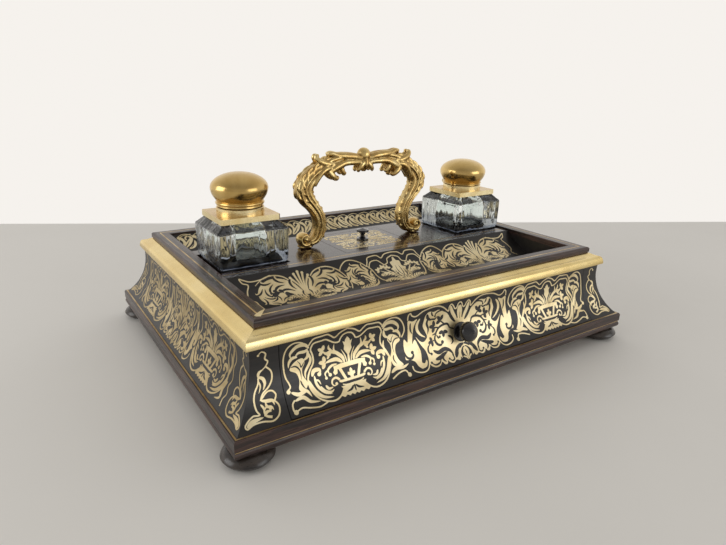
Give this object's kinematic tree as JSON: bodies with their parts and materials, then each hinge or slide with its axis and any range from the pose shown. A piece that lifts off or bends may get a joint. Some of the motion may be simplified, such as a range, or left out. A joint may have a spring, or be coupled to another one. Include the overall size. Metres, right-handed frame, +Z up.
{
  "type": "desk inkstand",
  "caption": "Hollow-sided desk inkstand with lidded glass ink bottles, pen trays, a lidded compartment, a drawer and a scrolled carrying handle.",
  "frame": {"origin": "on the ground under the middle of the stand", "axes": "+Z up, +X to the right seen from the drawer side, the drawer facing -Y"},
  "size_m": [0.352, 0.2736, 0.1537],
  "materials": {
    "ebony": "black veneer, satin polish",
    "turned_ebony": "black turned wood, gloss polish",
    "rosewood": "dark rosewood, satin polish",
    "carcass_oak": "plain planed oak",
    "brass": "satin brass",
    "polished_brass": "polished brass",
    "gilt_bronze": "cast and chased, worn gilding",
    "steel": "plain",
    "clear_glass": "clear cut glass"
  },
  "bodies": {
    "case": {"foot_front_left": "turned_ebony", "foot_front_right": "turned_ebony", "foot_back_left": "turned_ebony", "foot_back_right": "turned_ebony", "base_board": "carcass_oak", "dust_board": "carcass_oak", "front_bottom_rail": "carcass_oak", "front_top_rail": "carcass_oak", "drawer_runner_left": "carcass_oak", "drawer_runner_right": "carcass_oak", "compartment_box": "carcass_oak", "plinth_front": "rosewood", "plinth_back": "rosewood", "plinth_left": "rosewood", "plinth_right": "rosewood", "frame_rail_front": "rosewood", "frame_rail_back": "rosewood", "frame_rail_left": "rosewood", "frame_rail_right": "rosewood", "front_pen_tray": "rosewood", "back_pen_tray": "rosewood", "deck_board": "rosewood", "deck_strip_front": "rosewood", "deck_strip_back": "rosewood", "brass_moulding_front": "brass", "brass_moulding_back": "brass", "brass_moulding_left": "brass", "brass_moulding_right": "brass", "frame_stringing": "brass", "plinth_top_stringing": "brass", "plinth_quirk_stringing": "brass", "deck_stringing": "brass", "side_panel_left": "ebony", "side_panel_right": "ebony", "back_panel": "ebony", "front_post_left": "ebony", "front_post_right": "ebony", "inner_cheek_left": "ebony", "inner_cheek_right": "ebony", "handle": "gilt_bronze", "handle_studs": "steel", "handle_nuts": "steel"},
    "drawer": {"drawer_front": "ebony", "drawer_side_left": "carcass_oak", "drawer_side_right": "carcass_oak", "drawer_back": "carcass_oak", "drawer_bottom": "carcass_oak", "drawer_knob": "turned_ebony"},
    "compartment_lid": {"compartment_lid": "rosewood", "compartment_lid_knob": "turned_ebony"},
    "left_bottle": {"left_ink_bottle": "clear_glass", "left_collar": "polished_brass", "left_hinge_pin": "steel"},
    "left_lid": {"left_domed_lid": "polished_brass"},
    "right_bottle": {"right_ink_bottle": "clear_glass", "right_collar": "polished_brass", "right_hinge_pin": "steel"},
    "right_lid": {"right_domed_lid": "polished_brass"}
  },
  "joints": [
    {"name": "drawer_slide", "type": "slide", "parent": "case", "child": "drawer", "axis": [0, -1, 0], "range_m": [0, 0.15]},
    {"name": "compartment_lid_lift", "type": "slide", "parent": "case", "child": "compartment_lid", "axis": [0, 0, 1], "range_m": [0, 0.035]},
    {"name": "left_bottle_lift", "type": "slide", "parent": "case", "child": "left_bottle", "axis": [0, 0, 1], "range_m": [0, 0.05]},
    {"name": "right_bottle_lift", "type": "slide", "parent": "case", "child": "right_bottle", "axis": [0, 0, 1], "range_m": [0, 0.05]},
    {"name": "left_lid_hinge", "type": "hinge", "parent": "left_bottle", "child": "left_lid", "pos_m": [-0.1089, 0.0238, 0.1173], "axis": [-1, 0, 0], "range_deg": [0, 95]},
    {"name": "right_lid_hinge", "type": "hinge", "parent": "right_bottle", "child": "right_lid", "pos_m": [0.1089, 0.0238, 0.1173], "axis": [-1, 0, 0], "range_deg": [0, 95]}
  ]
}
